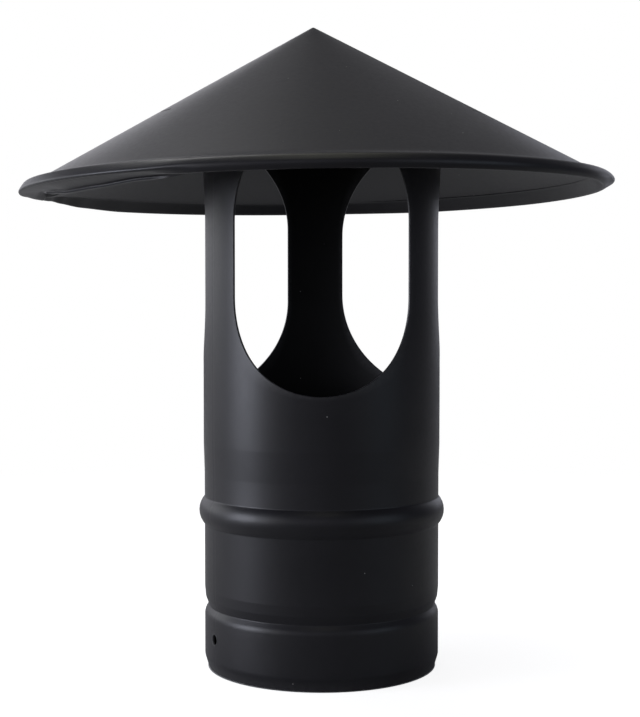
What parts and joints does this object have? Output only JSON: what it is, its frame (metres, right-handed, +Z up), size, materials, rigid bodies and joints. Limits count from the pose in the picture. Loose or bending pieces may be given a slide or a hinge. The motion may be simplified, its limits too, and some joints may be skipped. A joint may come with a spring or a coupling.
{
  "type": "chimney rain cap",
  "caption": "Sheet steel rain cap for a small stove flue: a conical hat on a slotted pipe whose beaded spigot plugs into the flue pipe.",
  "frame": {"origin": "on the pipe's axis, at the plane of its bottom edge", "axes": "+Z up along the pipe's axis, -Y towards the front window, +X to the right seen from the front"},
  "size_m": [0.1997, 0.1996, 0.217],
  "materials": {
    "black_enamel": "satin black stove enamel with a fine orange peel"
  },
  "bodies": {
    "root": {"pipe_body": "black_enamel", "pipe_seam_weld": "black_enamel", "hat_shell": "black_enamel", "hat_seam_spots": "black_enamel", "tab_left": "black_enamel", "tab_right": "black_enamel", "tab_rear": "black_enamel", "tab_foot_welds": "black_enamel", "tab_reach_welds": "black_enamel"}
  },
  "joints": []
}
